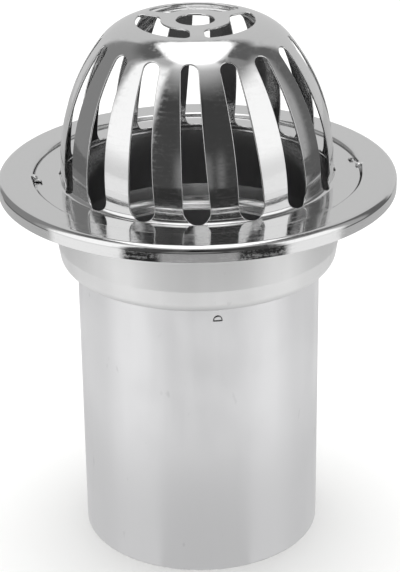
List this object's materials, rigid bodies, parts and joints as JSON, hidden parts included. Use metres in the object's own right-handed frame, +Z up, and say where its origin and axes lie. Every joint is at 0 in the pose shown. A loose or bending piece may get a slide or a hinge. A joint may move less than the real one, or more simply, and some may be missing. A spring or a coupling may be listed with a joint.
{
  "type": "outdoor floor drain",
  "caption": "Stainless steel roof and yard drain: slotted strainer dome in a round flange with a drawn bowl and a straight outlet pipe.",
  "frame": {"origin": "centre of the outlet pipe's lower end, which is the bottom of the bounding box", "axes": "+Z up along the drain's axis, -Y towards the side that the picture shows, +X to its right"},
  "size_m": [0.16, 0.16, 0.2206],
  "materials": {
    "polished_steel": "bright polished stainless steel",
    "pressed_steel": "polished stainless steel above, satin under the flange",
    "satin_steel": "satin stainless steel, rolled and welded"
  },
  "bodies": {
    "drain_body": {"flange_bowl": "pressed_steel", "outlet_pipe": "satin_steel"},
    "strainer": {"strainer_dome": "polished_steel"}
  },
  "joints": [
    {"name": "strainer_turn", "type": "hinge", "parent": "drain_body", "child": "strainer", "pos_m": [0, 0, 0.1564], "axis": [0, 0, 1], "continuous": true}
  ]
}
